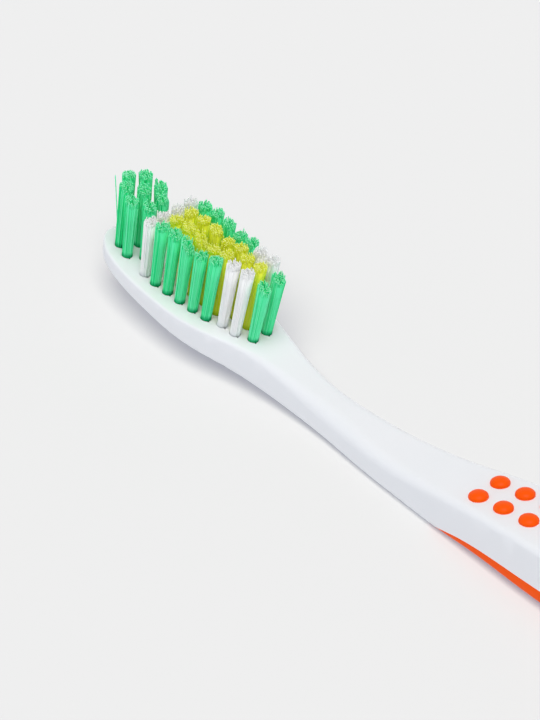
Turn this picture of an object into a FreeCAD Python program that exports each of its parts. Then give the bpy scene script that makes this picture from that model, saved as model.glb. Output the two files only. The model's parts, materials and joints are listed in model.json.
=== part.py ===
import FreeCAD, Part
import math
import os

from FreeCAD import Placement, Rotation, Vector

# A manual toothbrush lying on its back with the bristles up.
# X runs from the toe of the head to the butt of the handle, Y across, Z up from the rest surface.
# Sizes are in millimetres and degrees.  Places along the brush are measured from the toe tip, and the
# model's origin lies under the middle of the brush's length, on the rest surface.

SIZES = (
    ("brush_length", 190.0, "toe tip to butt"),
    # Plan outline: place along the brush and full width there
    ("head_widest_at", 18.4, "widest place of the head"),
    ("head_width", 13.54, "width of the head"),
    ("nose_fullness", 2.45, "superellipse exponent of the toe outline"),
    ("heel_at", 26.0, "where the head narrows"),
    ("heel_width", 10.5, "width at the heel"),
    ("shoulder_at", 32.0, "where the head runs into the neck"),
    ("shoulder_width", 7.3, "width at the shoulder"),
    ("throat_at", 38.0, "front of the neck"),
    ("throat_width", 5.7, "width at the throat"),
    ("neck_at", 45.0, "slimmest part of the neck"),
    ("neck_width", 5.75, "width of the neck"),
    ("waist_at", 54.0, "lowest place of the upper side"),
    ("waist_width", 7.35, "width at the waist"),
    ("stem_at", 66.0, "where the handle starts to swell"),
    ("stem_width", 9.3, "width at the stem"),
    ("thumb_at", 75.0, "front of the thumb rest"),
    ("thumb_width", 11.2, "width at the thumb rest"),
    ("grip_at", 104.0, "fullest part of the grip"),
    ("grip_width", 13.2, "width of the grip"),
    ("palm_at", 132.0, "rear of the grip"),
    ("palm_width", 12.9, "width at the palm"),
    ("tail_at", 160.0, "where the butt starts to round off"),
    ("tail_width", 12.2, "width at the tail"),
    ("butt_fullness", 2.9, "superellipse exponent of the butt outline"),
    # Upper side: heights above the rest surface
    ("face_height", 9.7, "height of the bristle face at the first full row"),
    ("head_angle", 5.0, "slope of the bristle face, toe up"),
    ("face_end_at", 31.0, "rear end of the flat bristle face"),
    ("throat_top", 6.5, "upper side at the throat"),
    ("neck_top", 5.78, "upper side at the neck"),
    ("waist_top", 5.22, "upper side at the waist"),
    ("stem_top", 6.42, "upper side at the stem"),
    ("thumb_top", 8.02, "upper side at the front of the thumb rest"),
    ("grip_top", 10.5, "upper side at the grip"),
    ("palm_top", 10.6, "upper side at the palm"),
    ("tail_top", 9.4, "upper side at the tail"),
    ("butt_top", 7.3, "upper side at the butt"),
    # Under side: thickness of the head below the bristle face, then heights above the rest surface
    ("toe_thickness", 3.67, "head at the toe"),
    ("row_thickness", 3.83, "head at the first full row"),
    ("widest_thickness", 4.43, "head at its widest place"),
    ("heel_thickness", 5.14, "head at the heel"),
    ("shoulder_under", 1.95, "under side at the shoulder"),
    ("throat_under", 0.95, "under side at the throat"),
    ("neck_under", 0.33, "under side at the neck"),
    ("rest_start", 56.0, "front end of the flat that rests on the table"),
    ("rest_end", 166.0, "rear end of that flat"),
    ("rest_trim", 0.1, "trimmed off the under side to make the flat"),
    ("butt_under", 2.0, "under side at the butt"),
    # Edges
    ("head_edge", 0.4, "radius round the bristle face"),
    ("neck_edge", 2.1, "radius along the neck's upper side"),
    ("grip_edge", 0.9, "radius along the grip's upper side"),
    ("head_chamfer", 1.25, "height of the chamfer under the head"),
    ("neck_chamfer", 1.0, "height of the chamfer under the neck"),
    ("grip_chamfer", 2.0, "height of the chamfer under the grip"),
    ("head_inset", 1.7, "width of the chamfer under the head"),
    ("neck_inset", 1.4, "width of the chamfer under the neck"),
    ("grip_inset", 2.6, "width of the chamfer under the grip"),
    ("chamfer_ease", 0.4, "how far the corners of the chamfers are rounded"),
    # Bristle rows, measured on the bristle face
    ("first_row_at", 10.5, "toe tip to the first full row"),
    ("row_pitch", 2.37, "row to row"),
    ("inner_span", 2.76, "between the two inner tufts of a row"),
    ("row_one_span", 7.52, "between the outer tufts of row one"),
    ("row_two_span", 8.04, "between the outer tufts of row two"),
    ("row_three_span", 7.86, "between the outer tufts of row three"),
    ("row_four_span", 7.72, "between the outer tufts of row four"),
    ("row_five_span", 7.36, "between the outer tufts of row five"),
    ("row_six_span", 6.8, "between the outer tufts of row six"),
    ("row_seven_span", 5.06, "between the outer tufts of row seven"),
    ("row_eight_span", 4.84, "between the outer tufts of row eight"),
    ("row_nine_span", 2.6, "between the outer tufts of row nine"),
    ("row_one_height", 9.2, "bristles of row one"),
    ("row_two_height", 10.05, "bristles of row two"),
    ("row_three_height", 10.4, "bristles of row three"),
    ("row_four_height", 10.25, "bristles of row four"),
    ("row_five_height", 9.75, "bristles of row five"),
    ("row_six_height", 10.4, "bristles of row six"),
    ("row_seven_height", 10.8, "bristles of row seven"),
    ("row_eight_height", 11.0, "bristles of row eight"),
    ("row_nine_height", 9.95, "bristles of row nine"),
    # Toe cluster, measured forward of the first full row
    ("toe_tip_ahead", 8.2, "foremost tuft"),
    ("toe_tip_height", 10.4, "its bristles"),
    ("toe_side_ahead", 6.8, "pair beside the foremost tuft"),
    ("toe_side_span", 4.52, "between the two"),
    ("toe_side_height", 10.1, "their bristles"),
    ("toe_middle_ahead", 5.3, "single tuft in the middle of the cluster"),
    ("toe_middle_height", 9.5, "its bristles"),
    ("toe_flank_ahead", 4.54, "pair at the widest place of the cluster"),
    ("toe_flank_span", 6.0, "between the two"),
    ("toe_flank_height", 9.35, "their bristles"),
    ("toe_back_ahead", 2.6, "pair closing the cluster"),
    ("toe_back_span", 2.92, "between the two"),
    ("toe_back_height", 9.0, "their bristles"),
    # Tufts and the plates that anchor them
    ("tuft_diameter", 1.57, "bundle at the bristle face"),
    ("tuft_top_diameter", 1.9, "bundle at its tip"),
    ("fan_radius", 255.0, "the tufts fan out from a line this far below the face"),
    ("fan_centre", 5.0, "first full row to the tuft that stands square"),
    ("hole_depth", 2.9, "depth of a tuft hole"),
    ("hole_clearance", 0.04, "hole diameter less bundle diameter"),
    ("root_gap", 0.05, "between the fold of a bundle and the bottom of its hole"),
    ("anchor_length", 1.9, "anchor plate across the hole, bitten into both sides"),
    ("anchor_height", 1.3, "anchor plate along the hole"),
    ("anchor_thickness", 0.25, "anchor plate"),
    ("anchor_angle", 20.0, "anchor plates turned from the brush axis"),
    ("anchor_seat", 0.45, "bottom of the hole to the anchor plate"),
    ("slot_clearance", 0.02, "slot left by the plate less plate"),
    # Soft grip pad
    ("pad_start", 64.5, "front end of the pad on the under side"),
    ("pad_thumb_rise", 2.9, "upper edge of the pad at the thumb rest"),
    ("pad_bend_at", 82.5, "where the upper edge of the pad levels off"),
    ("pad_bend_rise", 3.45, "upper edge of the pad there"),
    ("pad_grip_rise", 4.4, "upper edge of the pad at the grip"),
    ("pad_palm_rise", 4.7, "upper edge of the pad at the palm"),
    ("pad_tail_rise", 3.0, "upper edge of the pad at the tail"),
    ("pad_end", 177.0, "rear end of the pad on the under side"),
    ("keel_width", 4.4, "stiffening keel of the handle inside the pad"),
    ("keel_cover", 1.6, "pad thickness under the keel"),
    ("keel_end", 158.0, "rear end of the keel"),
    ("keel_margin", 5.0, "from the last dots to the keel"),
    ("dot_count", 6, "dots in each of the two rows"),
    ("dot_first_at", 71.24, "first dots"),
    ("dot_pitch", 4.15, "dot to dot along the brush"),
    ("dot_span", 4.22, "between the two rows"),
    ("dot_diameter", 2.66, "diameter of a dot and of the pillar under it"),
    ("dot_rise", 0.68, "dome of a dot"),
    ("dot_wall", 0.17, "upright rim of a dot, below its dome"),
    ("pillar_seat", 0.7, "rest surface to the lower end of a pillar"),
)

# Cutters reach this far past what they cut
OVER = 2.0
# Part of a wall that the rounding of one edge may take up
WALL_SHARE = 0.42
# Cross-sections of the skin: spacing, how many close up at each end and how fast, and the flat left at a tip
SECTION_STEP = 4.5
END_SECTIONS = 12
END_POWER = 2.4
TIP_FLAT = 0.08
# Points on a cross-section: steps in a rounded corner, shares of half a flat and of an upright wall
CORNER_STEPS = 6
FLAT_SHARES = (0.0, 0.4, 0.7, 0.9, 0.97)
SIDE_SHARES = (0.05, 0.15, 0.3, 0.5, 0.7, 0.85, 0.95)
# Edges closer than this to a place are at that place
SEAM = 1e-4
LEVEL = Vector(1, 0, 0)

doc = FreeCAD.newDocument("toothbrush")
sheet = doc.addObject("Spreadsheet::Sheet", "sizes")
for line, (alias, value, meaning) in enumerate(SIZES, start=1):
    sheet.set(f"A{line}", meaning)
    sheet.set(f"B{line}", str(value))
    sheet.setAlias(f"B{line}", alias)
doc.recompute()


def size(alias):
    """Value of a named size."""
    return float(sheet.get(alias))


def add(kind, name, **bound):
    """Adds an object and binds each named property to an expression of the sheet's sizes."""
    thing = doc.addObject(kind, name)
    for prop, expression in bound.items():
        thing.setExpression(prop, expression)
    return thing


def boolean(kind, name, base, tool):
    """Part::Cut, Part::Fuse or Part::Common of two objects."""
    thing = doc.addObject(kind, name)
    thing.Base = base
    thing.Tool = tool
    return thing


def compound(name, links):
    """One object that holds separate solids."""
    thing = doc.addObject("Part::Compound", name)
    thing.Links = links
    return thing


# Outlines

def spline(points, start=None, end=None):
    """Smooth curve through points, with its end directions where they are given."""
    directions = [start or LEVEL] + [LEVEL for point in points[2:]] + [end or LEVEL]
    given = [bool(start)] + [False for point in points[2:]] + [bool(end)]
    curve = Part.BSplineCurve()
    if any(given):
        curve.interpolate(Points=points, Tangents=directions, TangentFlags=given)
    else:
        curve.interpolate(Points=points)
    return curve


def station(place, second):
    """A point of a profile from two named sizes."""
    return Vector(size(place), size(second), 0)


def height_at(curve, along):
    """Height of a profile curve at a place along the brush."""
    reach = Vector(0, length, 0)
    foot = Vector(along, 0, 0)
    return curve.intersectCC(Part.LineSegment(foot - reach, foot + reach))[0].Y


def face_height_at(along):
    """Height of the plane of the bristle face."""
    return size("face_height") + face_direction.y * (along - size("first_row_at"))


length = size("brush_length")
toe_tip = Vector(-length / 2, 0, 0)
face_direction = Vector(1, -math.tan(math.radians(size("head_angle"))), 0)

width_points = []
for name in ("heel", "shoulder", "throat", "neck", "waist", "stem", "thumb", "grip", "palm", "tail"):
    width_points.append(Vector(size(name + "_at"), size(name + "_width") / 2, 0))
width_points.insert(0, Vector(size("head_widest_at"), size("head_width") / 2, 0))
waisted = spline(width_points, start=LEVEL, end=LEVEL)

upper_points = [Vector(size("face_end_at"), face_height_at(size("face_end_at")), 0)]
for name in ("throat", "neck", "waist", "stem", "thumb", "grip", "palm", "tail"):
    upper_points.append(station(name + "_at", name + "_top"))
upper_points.append(Vector(length, size("butt_top"), 0))
upper = spline(upper_points, start=face_direction)

under_points = [Vector(0, face_height_at(0) - size("toe_thickness"), 0)]
for place, name in (("first_row_at", "row"), ("head_widest_at", "widest"), ("heel_at", "heel")):
    along = size(place)
    under_points.append(Vector(along, face_height_at(along) - size(name + "_thickness"), 0))
for name in ("shoulder", "throat", "neck"):
    under_points.append(station(name + "_at", name + "_under"))
under_points.append(Vector(size("rest_start"), -size("rest_trim"), 0))
under = spline(under_points, end=LEVEL)


def superellipse(share, fullness):
    """Half width, from 1 to 0, at a share of the way from the widest place to the tip."""
    return (1.0 - share ** fullness) ** (1.0 / fullness)


def half_width_at(along):
    """Plan outline: a superellipse at the toe and at the butt, and a smooth curve between."""
    front = size("head_widest_at")
    back = size("tail_at")
    if along < front:
        return superellipse(1 - along / front, size("nose_fullness")) * size("head_width") / 2
    if along > back:
        share = (along - back) / (length - back)
        return superellipse(share, size("butt_fullness")) * size("tail_width") / 2
    return height_at(waisted, along)


def top_at(along):
    """Upper side: the plane of the bristle face, then a smooth curve."""
    if along < size("face_end_at"):
        return face_height_at(along)
    return height_at(upper, along)


def floor_at(along):
    """Under side before the rest flat is trimmed: a smooth curve, a level, and a parabola up to the butt."""
    if along < size("rest_start"):
        return height_at(under, along)
    past = max(0.0, along - size("rest_end")) / (length - size("rest_end"))
    return size("butt_under") * past ** 2 - size("rest_trim")


# Envelope: one skin through cross-sections, rounded above and chamfered below, trimmed flat to rest

def graded(along, places, edges):
    """Size of an edge at a place: the first up to the first place, then in straight steps to the next two."""
    marks = [size(place) for place in places]
    values = [size(edge) for edge in edges]
    for step in (0, 1):
        if along <= marks[step + 1]:
            share = max(0.0, along - marks[step]) / (marks[step + 1] - marks[step])
            return values[step] + share * (values[step + 1] - values[step])
    return values[2]


def eased(before, corner, after, reach):
    """Three points that round a corner, from the reach before it to the reach after it."""
    start = corner + (before - corner).normalize() * reach
    end = corner + (after - corner).normalize() * reach
    return [start, (start + end) * 0.25 + corner * 0.5, end]


def end_drop(along, radius):
    """How far the rounding of the toe or the butt has brought an edge in."""
    reach = min(along, length - along)
    if reach >= radius:
        return 0.0
    return radius - math.sqrt(radius ** 2 - (radius - reach) ** 2)


def half_section(along):
    """Near half of a cross-section, from the middle of the upper side to the middle of the under side."""
    half = half_width_at(along)
    radius = graded(along, ("heel_at", "neck_at", "thumb_at"), ("head_edge", "neck_edge", "grip_edge"))
    chamfer_places = ("shoulder_at", "stem_at", "thumb_at")
    chamfer = graded(along, chamfer_places, ("head_chamfer", "neck_chamfer", "grip_chamfer"))
    inset = graded(along, chamfer_places, ("head_inset", "neck_inset", "grip_inset"))
    top = top_at(along) - end_drop(along, radius)
    low = floor_at(along) + end_drop(along, chamfer)
    limit = WALL_SHARE * min(top - low, 2 * half)
    radius = min(radius, limit)
    chamfer = min(chamfer, limit)
    inset = min(inset, WALL_SHARE * half)

    points = [Vector(share * (half - radius), top) for share in FLAT_SHARES]
    for step in range(CORNER_STEPS + 1):
        angle = math.radians(90.0 * step / CORNER_STEPS)
        points.append(Vector(half - radius * (1 - math.sin(angle)), top - radius * (1 - math.cos(angle))))

    rim = Vector(half, low + chamfer)
    foot = Vector(half - inset, low)
    wall = top - radius - rim.y
    ease = min(size("chamfer_ease"), WALL_SHARE * min(wall, rim.distanceToPoint(foot), foot.x))
    wall -= ease
    points += [Vector(half, top - radius - share * wall) for share in SIDE_SHARES]
    points += eased(points[-1], rim, foot, ease)
    points.append((rim + foot) * 0.5)
    points += eased(rim, foot, Vector(0, low), ease)
    points += [Vector(share * (foot.x - ease), low) for share in reversed(FLAT_SHARES)]
    return [toe_tip + Vector(along, -point.x, point.y) for point in points]


def section_places():
    """Places of the cross-sections: evenly spaced along the brush, and closing up towards both ends."""
    closing = SECTION_STEP / (END_POWER * END_SECTIONS ** (END_POWER - 1))
    ends = [TIP_FLAT + closing * step ** END_POWER for step in range(END_SECTIONS)]
    reach = TIP_FLAT + closing * END_SECTIONS ** END_POWER
    count = round((length - 2 * reach) / SECTION_STEP)
    middle = [reach + (length - 2 * reach) * step / count for step in range(count + 1)]
    return ends + middle + [length - place for place in reversed(ends)]


def through(points, parameters):
    """Smooth curve that passes each point at its own parameter."""
    curve = Part.BSplineCurve()
    curve.interpolate(Points=points, Parameters=parameters)
    return curve


def skin(grid, around):
    """Smooth surface through a grid of points: curves along it, and curves through their poles across it."""
    along = [float(step) for step in range(len(grid))]
    lines = [through(list(column), along) for column in zip(*grid)]
    ribs = [through(list(poles), around) for poles in zip(*[line.getPoles() for line in lines])]
    surface = Part.BSplineSurface()
    surface.buildFromPolesMultsKnots(
        [rib.getPoles() for rib in ribs], lines[0].getMultiplicities(), ribs[0].getMultiplicities(),
        lines[0].getKnots(), ribs[0].getKnots(), False, False, lines[0].Degree, ribs[0].Degree)
    return surface


def mirrored(points):
    """The same points on the other side of the centre line, in the opposite order."""
    return [Vector(point.x, -point.y, point.z) for point in reversed(points)]


def upper_section(along):
    """Upper half of a cross-section, from the middle of the far wall to the middle of the near wall."""
    half = half_section(along)
    half = half[:len(half) // 2 + 1]
    return mirrored(half)[:-1] + half


def under_section(along):
    """Under half of a cross-section, from the middle of the near wall to the middle of the far wall."""
    half = half_section(along)
    half = half[len(half) // 2:]
    return half + mirrored(half)[1:]


def skin_between(section):
    """Skin through one half of all the cross-sections, spaced around them as their points are on average."""
    grid = [section(place) for place in section_places()]
    lines = list(zip(*grid))
    around = [0.0]
    for line, following in zip(lines, lines[1:]):
        steps = [point.distanceToPoint(neighbour) for point, neighbour in zip(line, following)]
        around.append(around[-1] + sum(steps) / len(steps))
    return skin(grid, around).toShape()


def closed_skin():
    """The upper and under skins, which meet along the walls, sewn to a solid with a flat at each tip."""
    skins = [skin_between(upper_section), skin_between(under_section)]
    flats = []
    for place in (section_places()[0], section_places()[-1]):
        rim = [edge for half in skins for edge in half.Edges
               if all(abs(vertex.X - toe_tip.x - place) < SEAM for vertex in edge.Vertexes)]
        flats.append(Part.Face(Part.Wire(Part.__sortEdges__(rim))))
    shell = Part.makeShell(skins + flats)
    shell.sewShape()
    solid = Part.makeSolid(shell)
    if solid.Volume < 0:
        solid.reverse()
    return solid


untrimmed = doc.addObject("Part::Feature", "untrimmed")
untrimmed.Shape = closed_skin()
table = add("Part::Box", "table", Length="sizes.brush_length", Width="2 * sizes.grip_width",
            Height="sizes.face_height")
table.setExpression("Placement.Base.x", "-sizes.brush_length / 2")
table.setExpression("Placement.Base.y", "-sizes.grip_width")
table.setExpression("Placement.Base.z", "-sizes.face_height")
envelope = boolean("Part::Cut", "envelope", untrimmed, table)
doc.recompute()

UPRIGHT = Rotation(Vector(1, 0, 0), 90)


def upright_block(name, curves):
    """A closed side outline, carried across the brush."""
    sketch = doc.addObject("Sketcher::SketchObject", name + "_sketch")
    sketch.Placement = Placement(toe_tip, UPRIGHT)
    for curve in curves:
        sketch.addGeometry(curve, False)
    block = add("Part::Extrusion", name, LengthFwd="2 * sizes.grip_width")
    block.Base = sketch
    block.DirMode = "Custom"
    block.Dir = Vector(0, 1, 0)
    block.Symmetric = True
    block.Solid = True
    return block


# Tufts: each a bundle folded round an anchor plate in a blind hole

def face_place(along, across):
    """Placement on the bristle face: Z along the fanned axis of the tuft there, X along its anchor plate."""
    pitch = size("head_angle")
    lean = math.degrees((along - size("fan_centre")) / size("fan_radius"))
    foot = toe_tip + Vector(size("first_row_at"), 0, size("face_height"))
    foot += Rotation(Vector(0, 1, 0), pitch).multVec(Vector(along, across, 0))
    plate_turn = Rotation(Vector(0, 0, 1), -size("anchor_angle"))
    return Placement(foot, Rotation(Vector(0, 1, 0), pitch + lean) * plate_turn)


def on_axis(place, sideways, depth):
    """A placement moved in its own frame."""
    return place * Placement(Vector(-sideways[0] / 2, -sideways[1] / 2, -depth), Rotation())


hole_cutters = []
slot_cutters = []
anchors = []
tufts = []


def add_tuft(label, along, across, height):
    """One tuft with its anchor plate, and the cutters for its hole and its plate's slot."""
    axis = face_place(along, across)

    root = add("Part::Cylinder", label + "_root",
               Radius="sizes.tuft_diameter / 2", Height="sizes.hole_depth - sizes.root_gap")
    root.Placement = on_axis(axis, (0, 0), size("hole_depth") - size("root_gap"))
    bundle = add("Part::Cone", label + "_bundle", Radius1="sizes.tuft_diameter / 2",
                 Radius2="sizes.tuft_top_diameter / 2", Height="sizes." + height)
    bundle.Placement = axis
    whole = boolean("Part::Fuse", label + "_whole", root, bundle)

    anchor = add("Part::Box", label + "_anchor", Length="sizes.anchor_length",
                 Width="sizes.anchor_thickness", Height="sizes.anchor_height")
    sides = (size("anchor_length"), size("anchor_thickness"))
    anchor.Placement = on_axis(axis, sides, size("hole_depth") - size("anchor_seat"))

    loose = size("slot_clearance")
    loose_sides = (sides[0] + loose, sides[1] + loose)
    window = add("Part::Box", label + "_window", Length="sizes.anchor_length + sizes.slot_clearance",
                 Width="sizes.anchor_thickness + sizes.slot_clearance",
                 Height="sizes.anchor_height + sizes.slot_clearance")
    window.Placement = on_axis(axis, loose_sides, size("hole_depth") - size("anchor_seat") + loose / 2)
    tuft = boolean("Part::Cut", label, whole, window)

    hole = add("Part::Cylinder", label + "_hole", Radius="(sizes.tuft_diameter + sizes.hole_clearance) / 2",
               Height=f"sizes.hole_depth + {OVER}")
    hole.Placement = on_axis(axis, (0, 0), size("hole_depth"))
    slot = add("Part::Box", label + "_slot", Length="sizes.anchor_length + sizes.slot_clearance",
               Width="sizes.anchor_thickness + sizes.slot_clearance",
               Height=f"sizes.hole_depth - sizes.anchor_seat + {OVER}")
    slot.Placement = on_axis(axis, loose_sides, size("hole_depth") - size("anchor_seat") + loose / 2)

    tufts.append(tuft)
    anchors.append(anchor)
    hole_cutters.append(hole)
    slot_cutters.append(slot)


def add_pair(label, along, span, height):
    """Two tufts, one each side of the centre line."""
    add_tuft(label.format("near"), along, -span / 2, height)
    add_tuft(label.format("far"), along, span / 2, height)


row_names = ("one", "two", "three", "four", "five", "six", "seven", "eight", "nine")
four_tuft_rows = row_names[:6]
three_tuft_rows = row_names[6:8]
for index, row in enumerate(row_names):
    along = index * size("row_pitch")
    height = f"row_{row}_height"
    add_pair(f"tuft_row_{row}_{{}}_outer", along, size(f"row_{row}_span"), height)
    if row in four_tuft_rows:
        add_pair(f"tuft_row_{row}_{{}}_inner", along, size("inner_span"), height)
    if row in three_tuft_rows:
        add_tuft(f"tuft_row_{row}_middle", along, 0.0, height)

for spot in ("tip", "middle"):
    add_tuft(f"tuft_toe_{spot}", -size(f"toe_{spot}_ahead"), 0.0, f"toe_{spot}_height")
for spot in ("side", "flank", "back"):
    span = size(f"toe_{spot}_span")
    add_pair(f"tuft_toe_{{}}_{spot}", -size(f"toe_{spot}_ahead"), span, f"toe_{spot}_height")

anchor_plates = compound("anchor_plates", anchors)


# Grip pad: the belly of the envelope below the pad's edge, hollowed over a keel, with pillars up to the dots

pad_front = Vector(size("pad_start"), 0, 0)
pad_back = Vector(size("pad_end"), 0, 0)
pad_edge = spline([
    pad_front,
    station("thumb_at", "pad_thumb_rise"),
    station("pad_bend_at", "pad_bend_rise"),
    station("grip_at", "pad_grip_rise"),
    station("palm_at", "pad_palm_rise"),
    station("tail_at", "pad_tail_rise"),
    pad_back,
])
pad_low = Vector(0, -OVER, 0)
pad_block = upright_block("pad_block", [
    pad_edge,
    Part.LineSegment(pad_back, pad_back + pad_low),
    Part.LineSegment(pad_back + pad_low, pad_front + pad_low),
    Part.LineSegment(pad_front + pad_low, pad_front),
])
belly = boolean("Part::Common", "belly", envelope, pad_block)

keel_start = "(sizes.dot_first_at + (sizes.dot_count - 1) * sizes.dot_pitch + sizes.keel_margin)"
keel = add("Part::Box", "keel", Length="sizes.keel_end - " + keel_start, Width="sizes.keel_width",
           Height="sizes.grip_top")
keel.setExpression("Placement.Base.x", keel_start + " - sizes.brush_length / 2")
keel.setExpression("Placement.Base.y", "-sizes.keel_width / 2")
keel.setExpression("Placement.Base.z", "sizes.keel_cover")
hollow_belly = boolean("Part::Cut", "hollow_belly", belly, keel)

dots = []
for number in range(int(size("dot_count"))):
    along = size("dot_first_at") + number * size("dot_pitch")
    surface = height_at(upper, along)
    direction = upper.tangent(upper.parameter(Vector(along, surface, 0)))[0]
    tilt = -math.degrees(math.atan2(direction.y, direction.x))
    depth = (surface - size("pillar_seat")) / math.cos(math.radians(tilt))
    for side in (-1, 1):
        foot = toe_tip + Vector(along, side * size("dot_span") / 2, surface)
        place = Placement(foot, Rotation(Vector(0, 1, 0), tilt))
        name = f"dot_{number}_{'near' if side < 0 else 'far'}"
        pillar = add("Part::Cylinder", name + "_pillar", Radius="sizes.dot_diameter / 2")
        pillar.Height = depth + size("dot_wall")
        pillar.Placement = on_axis(place, (0, 0), depth)
        dome = add("Part::Ellipsoid", name + "_dome", Radius1="sizes.dot_rise",
                   Radius2="sizes.dot_diameter / 2", Radius3="sizes.dot_diameter / 2")
        dome.Angle1 = 0
        dome.Placement = on_axis(place, (0, 0), -size("dot_wall"))
        dots.append(boolean("Part::Fuse", name, pillar, dome))

grip_pad = doc.addObject("Part::MultiFuse", "grip_pad")
grip_pad.Shapes = [hollow_belly] + dots


# Handle body: head, neck and handle in one moulding, less the pad, the tuft holes and the plates' slots

without_pad = boolean("Part::Cut", "without_pad", envelope, grip_pad)
drilled = boolean("Part::Cut", "drilled", without_pad, compound("hole_cutters", hole_cutters))
handle_body = boolean("Part::Cut", "handle_body", drilled, compound("slot_cutters", slot_cutters))


# The sub-parts, each written under its own name

sub_parts = [handle_body, grip_pad, anchor_plates] + tufts
doc.recompute()

for thing in doc.Objects:
    if "Invalid" in thing.State or "Error" in thing.State:
        raise RuntimeError(f"{thing.Name} failed: {thing.State}")
for thing in sub_parts:
    solids = len(anchors) if thing is anchor_plates else 1
    if thing.Shape.isNull() or not thing.Shape.isValid() or len(thing.Shape.Solids) != solids:
        raise RuntimeError(f"{thing.Label} is not the valid solid it should be")

os.makedirs("parts", exist_ok=True)
for thing in sub_parts:
    thing.Shape.exportStep(f"parts/{thing.Label}.step")
print(f"{len(sub_parts)} sub-parts, {len(tufts)} tufts, body volume {handle_body.Shape.Volume:.0f} mm3, "
      f"pad volume {grip_pad.Shape.Volume:.0f} mm3")
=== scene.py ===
"""Looks of a manual toothbrush: a satin white handle, a soft orange grip and bundles of nylon bristles."""

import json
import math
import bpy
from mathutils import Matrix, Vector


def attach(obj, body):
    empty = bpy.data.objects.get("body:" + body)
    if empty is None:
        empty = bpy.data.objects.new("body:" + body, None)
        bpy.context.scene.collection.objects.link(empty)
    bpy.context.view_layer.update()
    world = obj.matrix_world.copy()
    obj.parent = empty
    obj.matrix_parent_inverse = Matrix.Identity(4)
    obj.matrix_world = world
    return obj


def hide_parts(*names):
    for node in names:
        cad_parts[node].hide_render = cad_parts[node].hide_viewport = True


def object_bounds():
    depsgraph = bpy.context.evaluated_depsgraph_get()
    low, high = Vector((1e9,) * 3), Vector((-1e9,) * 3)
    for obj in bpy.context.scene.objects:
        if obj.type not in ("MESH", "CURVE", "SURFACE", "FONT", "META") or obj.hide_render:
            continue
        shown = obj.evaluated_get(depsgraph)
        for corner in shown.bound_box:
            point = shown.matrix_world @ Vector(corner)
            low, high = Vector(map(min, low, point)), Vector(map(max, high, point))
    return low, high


bl_info = {
    "name": "Manual toothbrush",
    "version": (1, 0, 0),
    "blender": (4, 5, 0),
    "location": "View3D > Sidebar > Toothbrush",
    "description": "Dresses the toothbrush's handle, grip and tufts and sets up a plain studio",
    "category": "Object",
}

import bpy
import numpy as np
from bpy.props import FloatProperty, FloatVectorProperty, IntProperty, PointerProperty
from mathutils import Matrix, Vector

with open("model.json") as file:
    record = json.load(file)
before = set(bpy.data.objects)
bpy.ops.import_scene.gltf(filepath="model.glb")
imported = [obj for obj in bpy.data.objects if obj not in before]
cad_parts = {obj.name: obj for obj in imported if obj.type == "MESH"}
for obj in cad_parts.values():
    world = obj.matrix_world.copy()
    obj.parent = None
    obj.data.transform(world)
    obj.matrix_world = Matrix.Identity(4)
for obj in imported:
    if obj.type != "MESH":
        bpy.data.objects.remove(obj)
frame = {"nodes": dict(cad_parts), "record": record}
CAD_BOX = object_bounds()
SLOTS = {part["node"]: part["material_slot"] for part in frame["record"]["subparts"]}

MM = 0.001
GOLDEN_ANGLE = math.pi * (3.0 - math.sqrt(5.0))

# Points this close to an end of a packed tuft belong to its end ring
END_RING = 0.05 * MM
# A filament's path opens out with this power of its share of the free length
FLARE = 1.15
FILAMENT_SIDES = 6
# Sides of the solid core of a tuft, and its tone between the deepest filaments and the palest
CORE_SIDES = 18
CORE_TONE = 0.5
# Spread of the points that the tips gather towards, as a share of the root's radius
GATHER_SPREAD = 0.45
# A filament that ends low or stands proud does so by at least this share of the most that it may
LEAST_ODD = 0.3
# Share of the free length over which the painted shade at the root, the darker root colour, fades
ROOT_SHADE_SHARE = 0.1
# From the flat that the brush rests on down to the paper
PAPER_GAP = 0.02 * MM

# The trim of the bristle field is a wave.  By the start of a tuft's name: height gained per millimetre
# towards the handle, and height gained in the middle
TRIMS = {
    "toe": (-0.40, 0.0),
    "row_three_near": (-0.50, -0.1 * MM),
    "row_four_near": (-1.20, -0.4 * MM),
    "row_four_far": (-0.40, 0.0),
    "row_nine_near": (-0.70, -0.45 * MM),
    "row_nine_far": (-0.50, 0.0),
    "row_": (0.0, 0.0),
}

# Tufts that lean out of line, by the start of the name: how far their tips go towards the handle and
# towards the far side
LEANS = {
    "toe_far": (-0.32 * MM, -0.29 * MM),
    "toe_near_side": (0.15 * MM, 0.13 * MM),
    "toe_tip": (-0.1 * MM, -0.1 * MM),
    "": (0.0, 0.0),
}

# One bristle at the toe has sprung out of its tuft: the places of its root and tip across the tuft, towards
# the handle and towards the far side, and its length
STRAY_TUFT = "tuft_toe_near_side"
STRAY_ROOT = (0.10 * MM, -0.54 * MM)
STRAY_TIP = (-2.31 * MM, 0.26 * MM)
STRAY_LENGTH = 13.4 * MM


def linear(hex_colour):
    """Linear colour of an sRGB hex value."""
    srgb = np.array([int(hex_colour[k:k + 2], 16) for k in (0, 2, 4)]) / 255.0
    low = srgb / 12.92
    high = ((srgb + 0.055) / 1.055) ** 2.4
    return tuple(float(value) for value in np.where(srgb <= 0.04045, low, high))


def opaque(colour):
    """A colour with full alpha."""
    return (*colour, 1.0)


# Meshes

def mesh_object(name, points, faces):
    """An object at the origin whose mesh has the points, in metres, and faces that are given."""
    mesh = bpy.data.meshes.new(name)
    mesh.from_pydata(points.reshape(-1, 3), [], faces)
    mesh.validate()
    mesh.shade_smooth()
    piece = bpy.data.objects.new(name, mesh)
    bpy.context.scene.collection.objects.link(piece)
    return piece


def node_points(node):
    """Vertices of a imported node, as an array in metres."""
    mesh = frame["nodes"][node].data
    points = np.zeros(len(mesh.vertices) * 3, np.float32)
    mesh.vertices.foreach_get("co", points)
    return points.reshape(-1, 3).astype(float)


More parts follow.
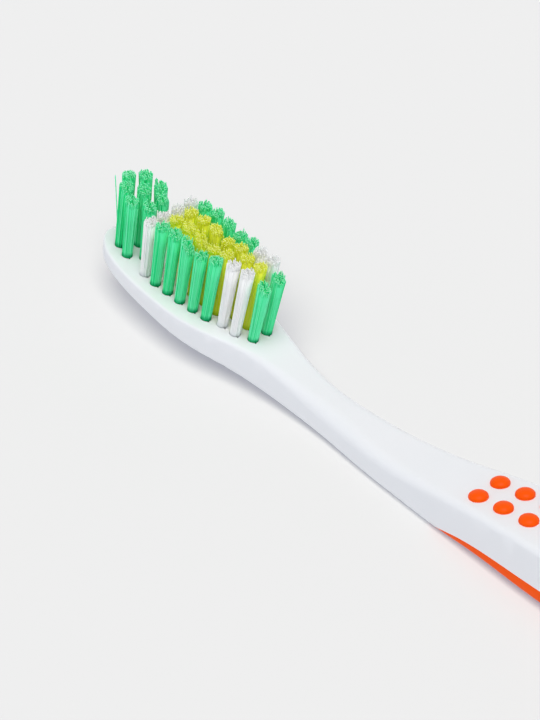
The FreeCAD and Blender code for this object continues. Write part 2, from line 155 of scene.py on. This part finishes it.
def dress(node, material):
    """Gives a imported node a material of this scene."""
    materials = frame["nodes"][node].data.materials
    materials.clear()
    materials.append(material)


# Materials

def add_node(tree, kind, inputs=None, **settings):
    """Adds a node, sets its options, and sets or links each named input."""
    made = tree.nodes.new(kind)
    for name, value in settings.items():
        setattr(made, name, value)
    for socket, value in (inputs or {}).items():
        if isinstance(value, bpy.types.NodeSocket):
            tree.links.new(value, made.inputs[socket])
        else:
            made.inputs[socket].default_value = value
    return made


def new_material(name):
    """An empty node material."""
    material = bpy.data.materials.new(name)
    material.use_nodes = True
    material.node_tree.nodes.clear()
    return material


def moulded_polypropylene(settings):
    """Polypropylene from a satin mould: soft even white, with a faint orange peel and cloudy gloss."""
    peel_size = 0.8 * MM
    peel_depth = 0.05 * MM
    cloud_size = 6.25 * MM
    cloud_gloss = 0.04
    material = new_material("moulded_polypropylene")
    tree = material.node_tree
    place = add_node(tree, "ShaderNodeTexCoord").outputs["Object"]
    peel = add_node(tree, "ShaderNodeTexNoise", {"Vector": place, "Scale": 1.0 / peel_size, "Detail": 2.0})
    clouds = add_node(tree, "ShaderNodeTexNoise", {"Vector": place, "Scale": 1.0 / cloud_size, "Detail": 2.0})
    gloss = add_node(tree, "ShaderNodeMapRange", {
        "Value": clouds.outputs["Fac"], "From Min": 0.3, "From Max": 0.7,
        "To Min": settings.roughness - cloud_gloss, "To Max": settings.roughness + cloud_gloss})
    tint = add_node(tree, "ShaderNodeMix", {
        "Factor": clouds.outputs["Fac"], "A": opaque(settings.colour), "B": opaque(settings.shade_colour)},
        data_type="RGBA")
    bump = add_node(tree, "ShaderNodeBump", {
        "Height": peel.outputs["Fac"], "Strength": 0.05, "Distance": peel_depth})
    shader = add_node(tree, "ShaderNodeBsdfPrincipled", {
        "Base Color": tint.outputs["Result"], "Roughness": gloss.outputs["Result"],
        "Normal": bump.outputs["Normal"], "IOR": 1.49, "Specular IOR Level": 0.04})
    add_node(tree, "ShaderNodeOutputMaterial", {"Surface": shader.outputs["BSDF"]})
    return material


def moulded_rubber(settings):
    """Thermoplastic rubber from a spark-eroded mould: saturated orange, fine grain and a soft sheen."""
    grain_size = 0.25 * MM
    grain_depth = 0.03 * MM
    cloud_size = 4.0 * MM
    material = new_material("moulded_rubber")
    tree = material.node_tree
    place = add_node(tree, "ShaderNodeTexCoord").outputs["Object"]
    grain = add_node(tree, "ShaderNodeTexNoise", {"Vector": place, "Scale": 1.0 / grain_size, "Detail": 2.0})
    clouds = add_node(tree, "ShaderNodeTexNoise", {"Vector": place, "Scale": 1.0 / cloud_size, "Detail": 2.0})
    tint = add_node(tree, "ShaderNodeMix", {
        "Factor": clouds.outputs["Fac"], "A": opaque(settings.colour), "B": opaque(settings.shade_colour)},
        data_type="RGBA")
    bump = add_node(tree, "ShaderNodeBump", {
        "Height": grain.outputs["Fac"], "Strength": 0.12, "Distance": grain_depth})
    shader = add_node(tree, "ShaderNodeBsdfPrincipled", {
        "Base Color": tint.outputs["Result"], "Roughness": settings.roughness,
        "Normal": bump.outputs["Normal"], "IOR": 1.48, "Specular IOR Level": 0.1})
    add_node(tree, "ShaderNodeOutputMaterial", {"Surface": shader.outputs["BSDF"]})
    return material


def stamped_brass(settings):
    """Brass strip, cold rolled and stamped: yellow metal with a finely uneven gloss."""
    grain_size = 0.05 * MM
    material = new_material("stamped_brass")
    tree = material.node_tree
    place = add_node(tree, "ShaderNodeTexCoord").outputs["Object"]
    grain = add_node(tree, "ShaderNodeTexNoise", {"Vector": place, "Scale": 1.0 / grain_size, "Detail": 1.0})
    rough = add_node(tree, "ShaderNodeMapRange", {
        "Value": grain.outputs["Fac"], "To Min": 0.25, "To Max": 0.4})
    shader = add_node(tree, "ShaderNodeBsdfPrincipled", {
        "Base Color": opaque(settings.anchor_colour), "Metallic": 1.0, "Roughness": rough.outputs["Result"]})
    add_node(tree, "ShaderNodeOutputMaterial", {"Surface": shader.outputs["BSDF"]})
    return material


def drawn_nylon(name, root, deep, pale, tip):
    """Drawn nylon filament: tinted plastic with little gloss.

    It is darker where it leaves its hole, which is painted shade, and paler at the rounded end of its tip,
    which is a painted highlight.
    """
    material = new_material(name)
    tree = material.node_tree
    rise = add_node(tree, "ShaderNodeAttribute", attribute_name="rise").outputs["Fac"]
    tone = add_node(tree, "ShaderNodeAttribute", attribute_name="tone").outputs["Fac"]
    ground_end_highlight = add_node(tree, "ShaderNodeAttribute", attribute_name="ground_end_highlight").outputs["Fac"]
    # Filaments differ in depth of colour
    body = add_node(tree, "ShaderNodeMix", {
        "Factor": tone, "A": opaque(deep), "B": opaque(pale)}, data_type="RGBA")
    # Painted shade: the darker root colour covers the lowest part of each filament, where it leaves its hole
    root_shade_fade = add_node(tree, "ShaderNodeMapRange", {
        "Value": rise, "From Min": 0.0, "From Max": ROOT_SHADE_SHARE}, interpolation_type="SMOOTHSTEP")
    root_shaded = add_node(tree, "ShaderNodeMix", {
        "Factor": root_shade_fade.outputs["Result"], "A": opaque(root), "B": body.outputs["Result"]}, data_type="RGBA")
    # Painted highlight: the rounded ends of the filaments take the paler tip colour
    ends = add_node(tree, "ShaderNodeMix", {
        "Factor": ground_end_highlight, "A": root_shaded.outputs["Result"], "B": opaque(tip)}, data_type="RGBA")
    shader = add_node(tree, "ShaderNodeBsdfPrincipled", {
        "Base Color": ends.outputs["Result"], "Roughness": 0.4, "IOR": 1.53, "Specular IOR Level": 0.08})
    add_node(tree, "ShaderNodeOutputMaterial", {"Surface": shader.outputs["BSDF"]})
    return material


def seen_directly(tree):
    """One for rays that carry a picture, straight, mirrored or through glass, and zero for light."""
    path = add_node(tree, "ShaderNodeLightPath").outputs
    mirrored = add_node(tree, "ShaderNodeMath", {0: path["Is Camera Ray"], 1: path["Is Glossy Ray"]},
                        operation="ADD", use_clamp=True)
    return add_node(tree, "ShaderNodeMath", {0: mirrored.outputs["Value"], 1: path["Is Transmission Ray"]},
                    operation="ADD", use_clamp=True).outputs["Value"]


def seamless_paper(settings):
    """Matt background paper: an even pale grey under its own lamp, lifted a little for the camera.

    The lift is tinted and the lit paper makes up for it, so that the paper keeps its colour and its shadows
    are cool.
    """
    tooth_size = 0.5 * MM
    tooth_depth = 0.02 * MM
    colour = np.array(settings.paper_colour)
    tint = np.array(settings.shadow_tint)
    shade = settings.paper_tone * colour
    shown = shade * (1.0 - settings.paper_lift * tint) / (1.0 - settings.paper_lift)
    material = new_material("seamless_paper")
    tree = material.node_tree
    place = add_node(tree, "ShaderNodeTexCoord").outputs["Object"]
    tooth = add_node(tree, "ShaderNodeTexNoise", {"Vector": place, "Scale": 1.0 / tooth_size, "Detail": 2.0})
    bump = add_node(tree, "ShaderNodeBump", {
        "Height": tooth.outputs["Fac"], "Strength": 0.02, "Distance": tooth_depth})
    seen = seen_directly(tree)
    face = add_node(tree, "ShaderNodeMix", {
        "Factor": seen, "A": opaque(shade), "B": opaque(shown)}, data_type="RGBA")
    shader = add_node(tree, "ShaderNodeBsdfPrincipled", {
        "Base Color": face.outputs["Result"], "Roughness": 1.0, "Specular IOR Level": 0.0,
        "Normal": bump.outputs["Normal"]})
    glow = add_node(tree, "ShaderNodeEmission", {"Color": opaque(colour * tint)})
    lift = add_node(tree, "ShaderNodeMath", {0: seen, 1: settings.paper_lift}, operation="MULTIPLY")
    both = add_node(tree, "ShaderNodeMixShader", {
        "Fac": lift.outputs["Value"], 1: shader.outputs["BSDF"], 2: glow.outputs["Emission"]})
    add_node(tree, "ShaderNodeOutputMaterial", {"Surface": both.outputs["Shader"]})
    return material


# Tufts

def box_middle(points):
    """Middle of the box round some points."""
    return (points.min(0) + points.max(0)) / 2


def tuft_axis(node):
    """Lower end, direction and length of a packed tuft: the line between the middles of its two end rings."""
    points = node_points(node)
    middle = points.mean(0)
    direction = np.linalg.svd(points - middle, full_matrices=False)[2][0]
    direction *= np.sign(direction[2])
    # The end rings found along the first direction give a better one, along which they are found again
    for _ in range(2):
        along = (points - middle) @ direction
        top = points[along > along.max() - END_RING]
        low = points[along < along.min() + END_RING]
        axis = box_middle(top) - box_middle(low)
        direction = axis / np.linalg.norm(axis)
    return box_middle(low), direction, float(np.linalg.norm(axis))


def on_tuft(foot, direction, flat, rise):
    """Points of a tuft from their places across it and their rise along its axis."""
    forward = np.array([direction[2], 0.0, -direction[0]])
    sideways = np.array([0.0, 1.0, 0.0])
    return foot + flat[..., :1] * forward + flat[..., 1:] * sideways + rise[..., None] * direction


def named_for(row, table):
    """The first entry of a table whose name starts a tuft's name."""
    return next(value for name, value in table.items() if row.startswith(name))


def filament_layout(settings, random):
    """Places of the filaments across a tuft, at its root and at its tip, in metres.

    Root places are a sunflower spiral, radius proportional to the root of the running number and angle to
    the golden angle, parted along the plane of the anchor plate.  At the tip they are spread, drawn towards
    a few random gathering points, and scattered.
    """
    count = settings.filaments
    number = np.arange(count)
    reach = settings.root_diameter / 2 - settings.filament_diameter / 2
    radius = reach * np.sqrt((number + 0.5) / count)
    angle = number * GOLDEN_ANGLE + random.uniform(0, 2 * math.pi)
    root = np.stack([radius * np.cos(angle), radius * np.sin(angle)], 1)
    plate = -settings.plate_turn
    across_plate = np.array([-math.sin(plate), math.cos(plate)])
    side = np.sign(root @ across_plate)
    root *= (reach - settings.parting) / reach
    root += side[:, None] * across_plate * settings.parting

    tip = root * settings.tip_diameter / settings.root_diameter
    gathers = random.normal(0, GATHER_SPREAD * reach, (settings.gathers, 2))
    nearest = np.linalg.norm(tip[:, None] - gathers[None], axis=2).argmin(1)
    tip += settings.gather_pull * (gathers[nearest] - tip)
    tip += random.normal(0, settings.tip_scatter, tip.shape)
    return root, tip


def trimmed_lengths(row, tip, length, settings, random):
    """Length of each filament: the tuft's, sloped and domed by the trim, with a few low and a few proud."""
    slope, gain = named_for(row, TRIMS)
    out = np.linalg.norm(tip, axis=1) / (settings.tip_diameter / 2)
    lengths = length + gain + slope * tip[:, 0] - settings.dome * out ** 2
    lengths += random.normal(0, settings.trim_scatter, len(tip))
    odd = random.random(len(tip))
    amount = random.uniform(LEAST_ODD, 1.0, len(tip))
    low = odd < settings.short_share
    proud = odd > 1.0 - settings.proud_share
    return lengths - low * amount * settings.short_reach + proud * amount * settings.proud_reach


def filament_tubes(foot, direction, root, tip, lengths, settings):
    """Tubes from root to tip, each with a shoulder and a rounded end.

    A point lies at the root place plus the spread times a power of the share of the free length, at its
    share of the filament's length along the tuft's axis, and off the filament's middle by the ring's radius.
    """
    diameter = settings.filament_diameter
    # Rings from the mouth of the hole up: share of the free length, drop from there, and radius
    shares = np.array([0.0, 0.35, 0.7, 1.0, 1.0, 1.0])
    drops = np.array([0.0, 0.0, 0.0, 0.5, 0.18, 0.0]) * diameter
    radii = np.array([1.0, 1.0, 1.0, 1.0, 0.8, 0.35]) * diameter / 2
    free = (lengths - settings.hole_depth)[:, None]
    bottom = np.zeros((len(lengths), 1))
    rise = np.concatenate([bottom, settings.hole_depth + free * shares - drops], 1)
    radii = np.concatenate([[diameter / 2], radii])
    share = np.clip((rise - settings.hole_depth) / free, 0, 1)

    middle = root[:, None] + (tip - root)[:, None] * (share ** FLARE)[..., None]
    turn = np.arange(FILAMENT_SIDES) * 2 * math.pi / FILAMENT_SIDES
    ring = np.stack([np.cos(turn), np.sin(turn)], 1)
    flat = middle[:, :, None] + radii[None, :, None, None] * ring
    return on_tuft(foot, direction, flat, rise[:, :, None]), share


def bundle_core(foot, direction, row, length, ceiling, settings):
    """The inner filaments as one flared solid that ends below their tips.

    A ring's radius goes from the root's to the tip's, and its middle follows the tuft's lean, with the power
    of the filaments' paths.  Its height is a share of the free length, which the trim slopes across the ring.
    """
    slope, gain = named_for(row, TRIMS)
    shares = np.array([0.0, 0.0, 0.35, 0.7, 1.0])
    opening = shares ** FLARE
    outer = settings.root_diameter / 2 * (1 - opening) + settings.tip_diameter / 2 * opening
    radii = outer - settings.core_inset
    turn = np.arange(CORE_SIDES) * 2 * math.pi / CORE_SIDES
    ring = radii[:, None, None] * np.stack([np.cos(turn), np.sin(turn)], 1)
    free = length + gain - settings.core_depth - settings.hole_depth + slope * ring[..., 0]
    rise = np.minimum(settings.hole_depth + free * shares[:, None], ceiling)
    rise[0] = 0.0
    flat = ring + opening[:, None, None] * named_for(row, LEANS)
    return on_tuft(foot, direction, flat, rise)[None], shares[None]


def tube_faces(count, rings, sides, first=0):
    """Faces of count grids of rings by sides that close round, each with a face over its two ends."""
    start = (first + np.arange(count) * rings * sides)[:, None, None]
    low = start + (np.arange(rings - 1) * sides)[:, None] + np.arange(sides)
    following = start + (np.arange(rings - 1) * sides)[:, None] + (np.arange(sides) + 1) % sides
    walls = np.stack([low, following, following + sides, low + sides], -1).reshape(-1, 4)
    top = start[:, 0] + (rings - 1) * sides + np.arange(sides)
    bottom = start[:, 0] + np.arange(sides)[::-1]
    return walls.tolist() + top.tolist() + bottom.tolist()


def bristle_tuft(node, settings, seed):
    """One tuft as separate filaments round a solid core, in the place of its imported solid."""
    random = np.random.default_rng(seed)
    foot, direction, length = tuft_axis(node)
    root, tip = filament_layout(settings, random)
    row = node[len("tuft_"):]
    lengths = trimmed_lengths(row, tip, length, settings, random)
    tip = tip + named_for(row, LEANS)
    if node == STRAY_TUFT:
        root = np.vstack([root, STRAY_ROOT])
        tip = np.vstack([tip, STRAY_TIP])
        lengths = np.append(lengths, STRAY_LENGTH)
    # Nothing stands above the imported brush
    ceiling = (CAD_BOX[1][2] - foot[2]) / direction[2] - settings.filament_diameter
    lengths = np.minimum(lengths, ceiling)
    points, share = filament_tubes(foot, direction, root, tip, lengths, settings)
    core, core_share = bundle_core(foot, direction, row, length, ceiling, settings)
    count, rings, sides = points.shape[:3]
    # The two last rings of a filament are its rounded end, where the paler tip colour is a painted highlight
    ground_end_highlight = np.zeros((count, rings))
    ground_end_highlight[:, -2:] = 1.0
    tone = np.repeat(random.random(count), rings).reshape(count, rings)
    layers = {
        "rise": (share, core_share),
        "tone": (tone, np.full_like(core_share, CORE_TONE)),
        "ground_end_highlight": (ground_end_highlight, np.zeros_like(core_share)),
    }

    faces = tube_faces(count, rings, sides) + tube_faces(*core.shape[:3], first=count * rings * sides)
    both = np.vstack([points.reshape(-1, 3), core.reshape(-1, 3)])
    piece = mesh_object("bristles_" + row, both, faces)
    for name, (values, core_values) in layers.items():
        layer = piece.data.attributes.new(name, "FLOAT", "POINT")
        spread = [np.repeat(values.ravel(), sides), np.repeat(core_values.ravel(), CORE_SIDES)]
        layer.data.foreach_set("value", np.concatenate(spread).astype(np.float32))
    return piece


# Stage

def background_paper(settings):
    """A square sheet of paper just below the brush."""
    half = settings.paper_size / 2
    corners = np.array([(-half, -half, 0), (half, -half, 0), (half, half, 0), (-half, half, 0)])
    paper = mesh_object("paper", corners - (0, 0, PAPER_GAP), [(0, 1, 2, 3)])
    paper.data.materials.append(seamless_paper(settings))
    return paper


def studio_world(settings):
    """A sky that lights the brush from all round, and shows the camera the colour of the paper."""
    world = bpy.data.worlds.new("studio")
    world.use_nodes = True
    tree = world.node_tree
    tree.nodes.clear()
    # The sky runs in a straight line from its horizon's tint to its zenith's
    way = add_node(tree, "ShaderNodeTexCoord").outputs["Generated"]
    height = add_node(tree, "ShaderNodeSeparateXYZ", {"Vector": way}).outputs["Z"]
    tint = add_node(tree, "ShaderNodeMix", {
        "Factor": height, "A": opaque(settings.horizon_colour), "B": opaque(settings.zenith_colour)},
        data_type="RGBA")
    light = add_node(tree, "ShaderNodeBackground", {
        "Color": tint.outputs["Result"], "Strength": settings.sky})
    backdrop = add_node(tree, "ShaderNodeBackground", {"Color": opaque(settings.paper_colour)})
    both = add_node(tree, "ShaderNodeMixShader", {
        "Fac": seen_directly(tree), 1: light.outputs["Background"], 2: backdrop.outputs["Background"]})
    add_node(tree, "ShaderNodeOutputWorld", {"Surface": both.outputs["Shader"]})
    return world


def softbox(name, settings, share, height):
    """A wide lamp that gives a level surface the share of white that is given."""
    light = bpy.data.lights.new(name, "SUN")
    light.energy = share * math.pi / math.sin(height)
    light.angle = settings.lamp_spread
    lamp = bpy.data.objects.new(name, light)
    level = math.cos(height)
    towards = Vector((level * math.cos(settings.lamp_azimuth), level * math.sin(settings.lamp_azimuth),
                      math.sin(height)))
    lamp.rotation_euler = towards.to_track_quat("Z", "Y").to_euler()
    bpy.context.scene.collection.objects.link(lamp)
    return lamp


def studio_lamps(settings, paper):
    """A lamp for the brush and one for the paper, which makes up for the paper's tone."""
    only_paper = 1.0 / settings.paper_tone - settings.sky
    brush_lamp = softbox("brush_lamp", settings, settings.lamp, settings.lamp_height)
    paper_lamp = softbox("paper_lamp", settings, only_paper, settings.paper_lamp_height)
    for lamp, state in ((brush_lamp, "EXCLUDE"), (paper_lamp, "INCLUDE")):
        receivers = bpy.data.collections.new(lamp.name + "_receivers")
        receivers.objects.link(paper)
        receivers.collection_objects[0].light_linking.link_state = state
        lamp.light_linking.receiver_collection = receivers


def studio_camera(settings):
    """A camera that looks at its aim from a distance, an azimuth and an elevation, turned by its roll."""
    camera = bpy.data.objects.new("camera", bpy.data.cameras.new("camera"))
    camera.data.lens = settings.lens
    camera.data.clip_start = 0.01
    camera.data.clip_end = 20.0
    flat = math.cos(settings.elevation)
    back = Vector((math.sin(settings.azimuth) * flat, -math.cos(settings.azimuth) * flat,
                   math.sin(settings.elevation)))
    right = Vector((math.cos(settings.azimuth), math.sin(settings.azimuth), 0.0))
    up = back.cross(right)
    cosine = math.cos(settings.roll)
    sine = math.sin(settings.roll)
    axes = (cosine * right + sine * up, cosine * up - sine * right, back)
    place = Matrix.Translation(Vector(settings.aim) + settings.distance * back)
    camera.matrix_world = place @ Matrix(axes).transposed().to_4x4()
    bpy.context.scene.collection.objects.link(camera)
    return camera


# Settings

class ToothbrushHandleSettings(bpy.types.PropertyGroup):
    """White moulded handle."""

    colour: FloatVectorProperty(
        name="Colour", description="Colour of the plastic",
        subtype="COLOR", default=linear("EEEFF2"))
    shade_colour: FloatVectorProperty(
        name="Cloud colour", description="Colour in the faint clouds of the plastic",
        subtype="COLOR", default=linear("ECEEF1"))
    roughness: FloatProperty(
        name="Roughness", description="Roughness of the satin surface",
        subtype="FACTOR", default=0.5, min=0.0, max=1.0)


class ToothbrushGripSettings(bpy.types.PropertyGroup):
    """Soft orange grip."""

    colour: FloatVectorProperty(
        name="Colour", description="Colour of the rubber",
        subtype="COLOR", default=linear("FF5A00"))
    shade_colour: FloatVectorProperty(
        name="Cloud colour", description="Colour in the faint clouds of the rubber",
        subtype="COLOR", default=linear("FC5600"))
    roughness: FloatProperty(
        name="Roughness", description="Roughness of the rubber",
        subtype="FACTOR", default=0.38, min=0.0, max=1.0)


class ToothbrushTuftSettings(bpy.types.PropertyGroup):
    """Bristle tufts and the plates that anchor them."""

    filaments: IntProperty(
        name="Filaments", description="Filament ends in a tuft",
        default=110, min=8, max=140)
    filament_diameter: FloatProperty(
        name="Filament diameter", description="Thickness of a filament",
        subtype="DISTANCE", default=0.142 * MM, precision=6)
    root_diameter: FloatProperty(
        name="Root diameter", description="Tuft diameter in its hole",
        subtype="DISTANCE", default=1.57 * MM, precision=6)
    tip_diameter: FloatProperty(
        name="Tip diameter", description="Tuft diameter at its tip",
        subtype="DISTANCE", default=2.2 * MM, precision=6)
    hole_depth: FloatProperty(
        name="Hole depth", description="Length of a tuft inside its hole",
        subtype="DISTANCE", default=2.85 * MM, precision=6)
    plate_turn: FloatProperty(
        name="Plate turn", description="Turn of the anchor plates from the brush's axis",
        subtype="ANGLE", default=math.radians(20.0))
    parting: FloatProperty(
        name="Parting", description="Half the gap where the anchor plate parts a tuft",
        subtype="DISTANCE", default=0.08 * MM, precision=6)
    core_inset: FloatProperty(
        name="Core inset", description="Filaments that show round a tuft's solid core",
        subtype="DISTANCE", default=0.2 * MM, precision=6)
    core_depth: FloatProperty(
        name="Core depth", description="From the filaments' tips to the core's end",
        subtype="DISTANCE", default=0.7 * MM, precision=6)
    gathers: IntProperty(
        name="Gathers", description="Points that the filament tips gather towards",
        default=5)
    gather_pull: FloatProperty(
        name="Gather pull", description="How far the tips gather",
        subtype="FACTOR", default=0.04)
    tip_scatter: FloatProperty(
        name="Tip scatter", description="Random lean of a filament's tip",
        subtype="DISTANCE", default=0.025 * MM, precision=6)
    dome: FloatProperty(
        name="Dome", description="How far the rim of a tuft is trimmed below its middle",
        subtype="DISTANCE", default=0.04 * MM, precision=6)
    trim_scatter: FloatProperty(
        name="Trim scatter", description="Random height of a filament's tip",
        subtype="DISTANCE", default=0.15 * MM, precision=6)
    short_share: FloatProperty(
        name="Short share", description="Share of filaments that end low",
        subtype="FACTOR", default=0.12)
    short_reach: FloatProperty(
        name="Short reach", description="How low they may end",
        subtype="DISTANCE", default=0.8 * MM, precision=6)
    proud_share: FloatProperty(
        name="Proud share", description="Share of filaments that stand proud",
        subtype="FACTOR", default=0.1)
    proud_reach: FloatProperty(
        name="Proud reach", description="How far they may stand proud",
        subtype="DISTANCE", default=0.4 * MM, precision=6)
    # Painted shade: the root colour is darker where the filaments leave their holes
    green_root: FloatVectorProperty(
        name="Green root", description="Green filaments at the root",
        subtype="COLOR", default=linear("08B46C"))
    green_deep: FloatVectorProperty(
        name="Deep green", description="Deepest green filaments",
        subtype="COLOR", default=linear("04E286"))
    green_pale: FloatVectorProperty(
        name="Pale green", description="Palest green filaments",
        subtype="COLOR", default=linear("80FFC8"))
    # Painted highlight: the tip colour is paler where the filament ends catch the light
    green_tip: FloatVectorProperty(
        name="Green tip", description="Ground ends of green filaments",
        subtype="COLOR", default=linear("A8FCD2"))
    # Painted shade: the root colour is darker where the filaments leave their holes
    yellow_root: FloatVectorProperty(
        name="Yellow root", description="Yellow filaments at the root",
        subtype="COLOR", default=linear("D0E224"))
    yellow_deep: FloatVectorProperty(
        name="Deep yellow", description="Deepest yellow filaments",
        subtype="COLOR", default=linear("EEF624"))
    yellow_pale: FloatVectorProperty(
        name="Pale yellow", description="Palest yellow filaments",
        subtype="COLOR", default=linear("F8FC60"))
    # Painted highlight: the tip colour is paler where the filament ends catch the light
    yellow_tip: FloatVectorProperty(
        name="Yellow tip", description="Ground ends of yellow filaments",
        subtype="COLOR", default=linear("FAFEA4"))
    # Painted shade: the root colour is darker where the filaments leave their holes
    white_root: FloatVectorProperty(
        name="White root", description="White filaments at the root",
        subtype="COLOR", default=linear("EEF2F1"))
    white_deep: FloatVectorProperty(
        name="Deep white", description="Deepest white filaments",
        subtype="COLOR", default=linear("F9FBFA"))
    white_pale: FloatVectorProperty(
        name="Pale white", description="Palest white filaments",
        subtype="COLOR", default=linear("FDFDFC"))
    # Painted highlight: the tip colour is paler where the filament ends catch the light
    white_tip: FloatVectorProperty(
        name="White tip", description="Ground ends of white filaments",
        subtype="COLOR", default=linear("FBFCFB"))
    anchor_colour: FloatVectorProperty(
        name="Anchor brass", description="Colour of the anchor plates",
        subtype="COLOR", default=linear("C9A24B"))


class ToothbrushStageSettings(bpy.types.PropertyGroup):
    """Paper, light and camera."""

    paper_colour: FloatVectorProperty(
        name="Paper", description="Colour of the background paper",
        subtype="COLOR", default=linear("EFEFEF"))
    paper_size: FloatProperty(
        name="Paper size", description="Side of the background paper",
        subtype="DISTANCE", default=6.0)
    paper_tone: FloatProperty(
        name="Paper tone", description="Share of its lit colour that the paper itself has",
        subtype="FACTOR", default=0.4)
    paper_lift: FloatProperty(
        name="Paper lift", description="Share of the paper that shows the camera no shadow",
        subtype="FACTOR", default=0.3)
    shadow_tint: FloatVectorProperty(
        name="Shadow tint", description="Tint of the paper where its lamp is shaded",
        subtype="COLOR", default=(0.98, 1.02, 1.25), max=2.0)
    sky: FloatProperty(
        name="Sky", description="Share of the light from above that comes from all round",
        default=0.42)
    horizon_colour: FloatVectorProperty(
        name="Horizon", description="Tint of the sky at the horizon",
        subtype="COLOR", default=(2.5, 2.65, 3.0), max=4.0)
    zenith_colour: FloatVectorProperty(
        name="Zenith", description="Tint of the sky overhead",
        subtype="COLOR", default=(0.25, 0.18, 0.02), max=4.0)
    lamp: FloatProperty(
        name="Lamp", description="Share of the brush's light from above that its lamp gives",
        default=0.58)
    lamp_azimuth: FloatProperty(
        name="Lamp azimuth", description="Where the lamps stand, from +X towards +Y",
        subtype="ANGLE", default=math.radians(-55.0))
    lamp_height: FloatProperty(
        name="Lamp height", description="Angle of the brush's lamp above the floor",
        subtype="ANGLE", default=math.radians(80.0))
    paper_lamp_height: FloatProperty(
        name="Paper lamp height", description="Angle of the paper's lamp above the floor",
        subtype="ANGLE", default=math.radians(55.0))
    lamp_spread: FloatProperty(
        name="Lamp spread", description="Angle that a lamp covers",
        subtype="ANGLE", default=math.radians(34.0))
    aim: FloatVectorProperty(
        name="Aim", description="Point on the floor in the middle of the picture",
        subtype="TRANSLATION", default=(-0.068067, 0.005210, 0.0))
    distance: FloatProperty(
        name="Distance", description="Camera to that point",
        subtype="DISTANCE", default=0.39688)
    azimuth: FloatProperty(
        name="Azimuth", description="Camera's turn round the brush, from the near side towards +X",
        subtype="ANGLE", default=math.radians(41.994))
    elevation: FloatProperty(
        name="Elevation", description="Camera's angle above the floor",
        subtype="ANGLE", default=math.radians(36.753))
    roll: FloatProperty(
        name="Roll", description="Camera's turn about its own axis",
        subtype="ANGLE", default=math.radians(5.047))
    lens: FloatProperty(
        name="Lens", description="Focal length in millimetres",
        subtype="DISTANCE_CAMERA", default=142.83)


# Operators and panel

class TOOTHBRUSH_OT_handle(bpy.types.Operator):
    """Dresses the handle."""

    bl_idname = "toothbrush.handle"
    bl_label = "Handle"

    def execute(self, context):
        dress("handle_body", moulded_polypropylene(context.scene.toothbrush_handle))
        return {"FINISHED"}


class TOOTHBRUSH_OT_grip(bpy.types.Operator):
    """Dresses the soft grip."""

    bl_idname = "toothbrush.grip"
    bl_label = "Grip"

    def execute(self, context):
        dress("grip_pad", moulded_rubber(context.scene.toothbrush_grip))
        return {"FINISHED"}


class TOOTHBRUSH_OT_tufts(bpy.types.Operator):
    """Builds the bristle tufts out of filaments and dresses their anchor plates."""

    bl_idname = "toothbrush.tufts"
    bl_label = "Tufts"

    def execute(self, context):
        settings = context.scene.toothbrush_tufts
        dress("anchor_plates", stamped_brass(settings))
        nylons = {}
        for colour in ("green", "yellow", "white"):
            # The root colour is painted shade near the hole, and the tip colour is a painted highlight on the
            # rounded end
            shades = [getattr(settings, f"{colour}_{part}") for part in ("root", "deep", "pale", "tip")]
            nylons["bristle_" + colour] = drawn_nylon(colour + "_nylon", *shades)
        tufts = sorted(node for node in frame["nodes"] if node.startswith("tuft_"))
        for seed, node in enumerate(tufts):
            piece = bristle_tuft(node, settings, seed)
            piece.data.materials.append(nylons[SLOTS[node]])
            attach(piece, "root")
            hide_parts(node)
        return {"FINISHED"}


class TOOTHBRUSH_OT_stage(bpy.types.Operator):
    """Sets up the paper, the light and the camera."""

    bl_idname = "toothbrush.stage"
    bl_label = "Stage"

    def execute(self, context):
        scene = context.scene
        settings = scene.toothbrush_stage
        scene.view_settings.view_transform = "Standard"
        paper = background_paper(settings)
        scene.world = studio_world(settings)
        studio_lamps(settings, paper)
        scene.camera = studio_camera(settings)
        return {"FINISHED"}


class TOOTHBRUSH_PT_panel(bpy.types.Panel):
    """Lists the pieces of the toothbrush."""

    bl_idname = "TOOTHBRUSH_PT_panel"
    bl_label = "Toothbrush"
    bl_space_type = "VIEW_3D"
    bl_region_type = "UI"
    bl_category = "Toothbrush"

    def draw(self, context):
        for operator in OPERATORS:
            self.layout.operator(operator.bl_idname)


SETTINGS = {
    "toothbrush_handle": ToothbrushHandleSettings,
    "toothbrush_grip": ToothbrushGripSettings,
    "toothbrush_tufts": ToothbrushTuftSettings,
    "toothbrush_stage": ToothbrushStageSettings,
}
OPERATORS = (TOOTHBRUSH_OT_handle, TOOTHBRUSH_OT_grip, TOOTHBRUSH_OT_tufts, TOOTHBRUSH_OT_stage)


def register():
    """Adds the settings, operators and panel to Blender."""
    for name, group in SETTINGS.items():
        bpy.utils.register_class(group)
        setattr(bpy.types.Scene, name, PointerProperty(type=group))
    for operator in OPERATORS:
        bpy.utils.register_class(operator)
    bpy.utils.register_class(TOOTHBRUSH_PT_panel)


def unregister():
    """Takes them out again."""
    bpy.utils.unregister_class(TOOTHBRUSH_PT_panel)
    for operator in reversed(OPERATORS):
        bpy.utils.unregister_class(operator)
    for name, group in SETTINGS.items():
        delattr(bpy.types.Scene, name)
        bpy.utils.unregister_class(group)


def main():
    """Builds every piece."""
    register()
    bpy.ops.toothbrush.handle()
    bpy.ops.toothbrush.grip()
    bpy.ops.toothbrush.tufts()
    bpy.ops.toothbrush.stage()


if __name__ == "__main__":
    main()
